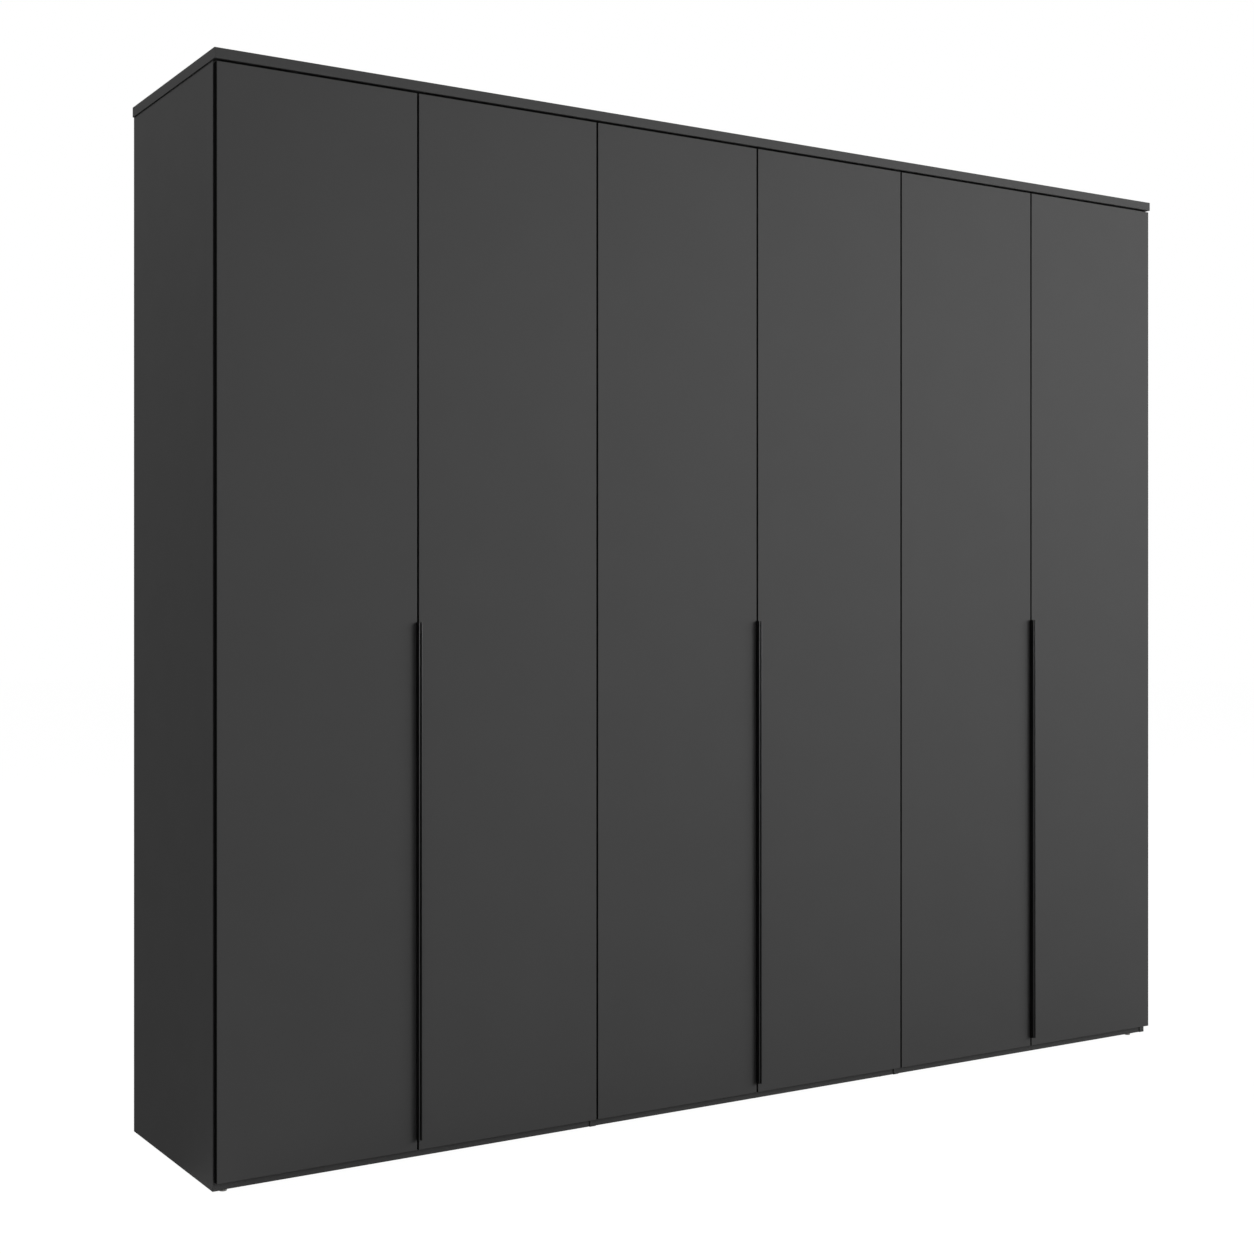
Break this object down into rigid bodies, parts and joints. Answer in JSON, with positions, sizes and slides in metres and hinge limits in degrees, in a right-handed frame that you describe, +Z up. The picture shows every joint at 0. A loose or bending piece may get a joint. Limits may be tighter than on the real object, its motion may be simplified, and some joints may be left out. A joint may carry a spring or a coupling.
{
  "type": "wardrobe with doors",
  "caption": "Tall wardrobe with full-height hinged doors in pairs, slim edge pulls, one cover board, a low plinth, and a hanging rail and hat shelf in each bay.",
  "frame": {"origin": "on the floor, in the middle of the footprint", "axes": "+Z up, the doors face -Y, +X to the right as seen from the front"},
  "size_m": [2.71, 0.553, 2.33],
  "materials": {
    "graphite_laminate": "matt melamine faced chipboard with matching edging",
    "graphite_lacquer": "smooth matt door foil",
    "back_hardboard": "printed hardboard, graphite face",
    "black_aluminium": "black powder coat, satin",
    "nickel_steel": "nickel plated",
    "zinc_steel": "zinc plated",
    "chromed_tube": "bright chrome",
    "grey_plastic": "moulded, light grey",
    "black_plastic": "moulded, dark graphite",
    "clear_buffer": "soft clear buffer"
  },
  "bodies": {
    "carcass": {"side_panel_left": "graphite_laminate", "side_panel_right": "graphite_laminate", "partition_left": "graphite_laminate", "partition_right": "graphite_laminate", "cover_board": "graphite_laminate", "floor_board_left": "graphite_laminate", "top_board_left": "graphite_laminate", "back_panel_left": "back_hardboard", "plinth_left": "graphite_laminate", "hat_shelf_left": "graphite_laminate", "clothes_rail_left": "chromed_tube", "floor_board_middle": "graphite_laminate", "top_board_middle": "graphite_laminate", "back_panel_middle": "back_hardboard", "plinth_middle": "graphite_laminate", "hat_shelf_middle": "graphite_laminate", "clothes_rail_middle": "chromed_tube", "floor_board_right": "graphite_laminate", "top_board_right": "graphite_laminate", "back_panel_right": "back_hardboard", "plinth_right": "graphite_laminate", "hat_shelf_right": "graphite_laminate", "clothes_rail_right": "chromed_tube", "rail_sockets": "zinc_steel", "shelf_pins": "zinc_steel", "foot_pads": "grey_plastic", "foot_spindles": "zinc_steel", "foot_brackets": "black_plastic", "cam_housings": "zinc_steel", "cam_bolts": "zinc_steel", "wood_screws": "zinc_steel", "wall_brackets": "zinc_steel", "door_buffers": "clear_buffer", "hinge_plates": "nickel_steel", "hinge_arms": "nickel_steel"},
    "door_1": {"door_panel_1": "graphite_lacquer", "handle_1": "black_aluminium", "handle_screws_1": "zinc_steel", "hinge_cups_1": "nickel_steel"},
    "door_2": {"door_panel_2": "graphite_lacquer", "handle_2": "black_aluminium", "handle_screws_2": "zinc_steel", "hinge_cups_2": "nickel_steel"},
    "door_3": {"door_panel_3": "graphite_lacquer", "handle_3": "black_aluminium", "handle_screws_3": "zinc_steel", "hinge_cups_3": "nickel_steel"},
    "door_4": {"door_panel_4": "graphite_lacquer", "handle_4": "black_aluminium", "handle_screws_4": "zinc_steel", "hinge_cups_4": "nickel_steel"},
    "door_5": {"door_panel_5": "graphite_lacquer", "handle_5": "black_aluminium", "handle_screws_5": "zinc_steel", "hinge_cups_5": "nickel_steel"},
    "door_6": {"door_panel_6": "graphite_lacquer", "handle_6": "black_aluminium", "handle_screws_6": "zinc_steel", "hinge_cups_6": "nickel_steel"}
  },
  "joints": [
    {"name": "door_1_hinge", "type": "hinge", "parent": "carcass", "child": "door_1", "pos_m": [-1.3445, -0.2625, 1.1665], "axis": [0, 0, -1], "range_deg": [0, 95]},
    {"name": "door_2_hinge", "type": "hinge", "parent": "carcass", "child": "door_2", "pos_m": [-0.45817, -0.2625, 1.1665], "axis": [0, 0, 1], "range_deg": [0, 88]},
    {"name": "door_3_hinge", "type": "hinge", "parent": "carcass", "child": "door_3", "pos_m": [-0.44317, -0.2625, 1.1665], "axis": [0, 0, -1], "range_deg": [0, 88]},
    {"name": "door_4_hinge", "type": "hinge", "parent": "carcass", "child": "door_4", "pos_m": [0.44317, -0.2625, 1.1665], "axis": [0, 0, 1], "range_deg": [0, 88]},
    {"name": "door_5_hinge", "type": "hinge", "parent": "carcass", "child": "door_5", "pos_m": [0.45817, -0.2625, 1.1665], "axis": [0, 0, -1], "range_deg": [0, 88]},
    {"name": "door_6_hinge", "type": "hinge", "parent": "carcass", "child": "door_6", "pos_m": [1.3445, -0.2625, 1.1665], "axis": [0, 0, 1], "range_deg": [0, 95]}
  ]
}
